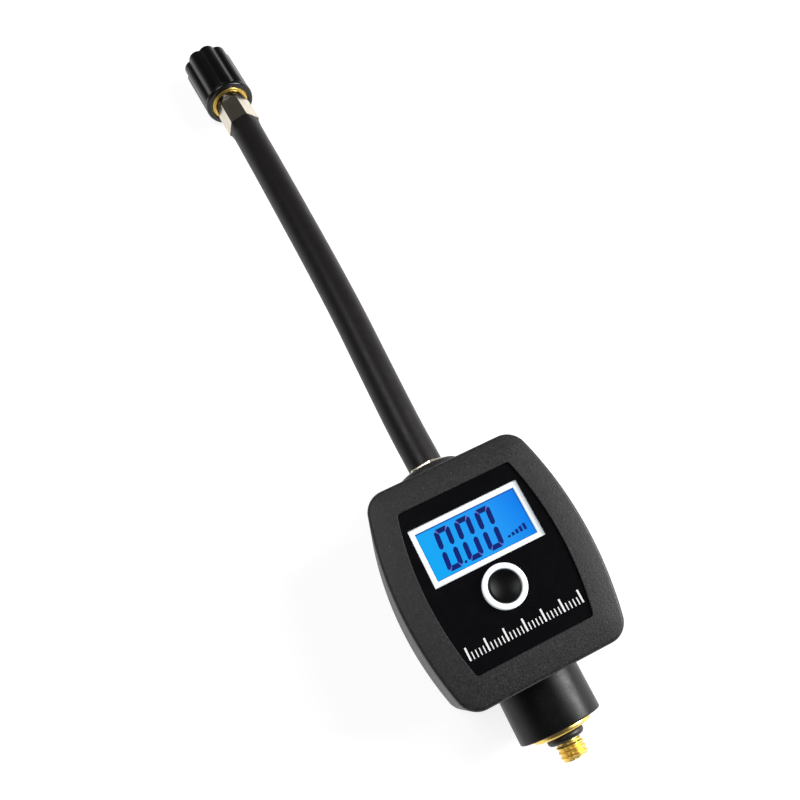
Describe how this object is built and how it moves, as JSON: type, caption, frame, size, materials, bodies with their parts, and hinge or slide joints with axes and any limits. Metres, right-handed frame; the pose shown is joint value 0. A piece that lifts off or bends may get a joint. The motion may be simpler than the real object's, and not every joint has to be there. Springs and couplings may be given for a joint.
{
  "type": "tire pressure gauge",
  "caption": "In-line digital tire pressure gauge: barrel-sided display casing with a threaded pump stud at one end and a short hose with a lobed screw-on valve chuck.",
  "frame": {"origin": "middle of the casing's flat back face", "axes": "+X to the display's right, +Y along the hose, +Z out of the display"},
  "size_m": [0.0488, 0.241, 0.037],
  "materials": {
    "casing": "fine spark texture",
    "panel": "gloss",
    "clear_plastic": "clear",
    "white_plastic": "satin",
    "lcd": "lit from behind",
    "light_guide": "frosted",
    "contact_rubber": "striped",
    "board": "solder mask",
    "screw_steel": "satin",
    "chip": "moulded",
    "board_parts": "ceramic",
    "sensor": "moulded",
    "silicone": "satin",
    "switch_metal": "satin",
    "button": "satin dome",
    "inner_plastic": "moulded",
    "cell": "printed sleeve",
    "contact_steel": "plated",
    "wire": "insulation",
    "collar": "satin",
    "brass": "turned",
    "seal_rubber": "satin",
    "manifold": "turned",
    "nickel": "polished, crimped",
    "hose_rubber": "matt",
    "grip": "gloss"
  },
  "bodies": {
    "gauge": {"front_casing": "casing", "rear_casing": "casing", "casing_screws": "screw_steel", "display_panel": "panel", "display_window": "clear_plastic", "display_frame": "white_plastic", "display_glass": "lcd", "backlight_guide": "light_guide", "backlight_leds": "white_plastic", "display_connectors": "contact_rubber", "circuit_board": "board", "board_screws": "screw_steel", "controller_chip": "chip", "board_parts": "board_parts", "pressure_sensor": "sensor", "sensor_tube": "silicone", "switch_base": "switch_metal", "button_ring": "white_plastic", "battery_tray": "inner_plastic", "battery_left": "cell", "battery_right": "cell", "battery_springs": "contact_steel", "battery_contacts": "contact_steel", "battery_leads": "wire", "pump_collar": "collar", "pump_fitting": "brass", "fitting_nut": "brass", "pump_o_ring": "seal_rubber", "air_manifold": "manifold", "hose_barb": "brass", "lower_ferrule": "nickel", "hose": "hose_rubber", "upper_ferrule": "nickel", "chuck_stem": "brass", "chuck_seal": "seal_rubber", "valve_pin": "brass"},
    "button": {"push_button": "button"},
    "switch_cap": {"switch_plunger": "chip"},
    "door": {"battery_door": "casing"},
    "chuck_nut": {"swivel_bush": "brass", "chuck_insert": "brass", "chuck_grip": "grip"}
  },
  "joints": [
    {"name": "button_press", "type": "slide", "parent": "gauge", "child": "button", "axis": [0, 0, -1], "range_m": [0, 0.0005], "stiffness_N_per_m": 800, "springref_m": -0.0005},
    {"name": "switch_press", "type": "slide", "parent": "gauge", "child": "switch_cap", "axis": [0, 0, -1], "range_m": [0, 0.0005]},
    {"name": "chuck_spin", "type": "hinge", "parent": "gauge", "child": "chuck_nut", "pos_m": [-0.00085, 0.1622, 0.0102], "axis": [-0.0435, 0.9966, -0.0698], "continuous": true},
    {"name": "door_slide", "type": "slide", "parent": "gauge", "child": "door", "axis": [0, -1, 0], "range_m": [0, 0.046]}
  ],
  "couplings": [
    {"joint": "switch_press", "follows": "button_press", "ratio": 1}
  ]
}
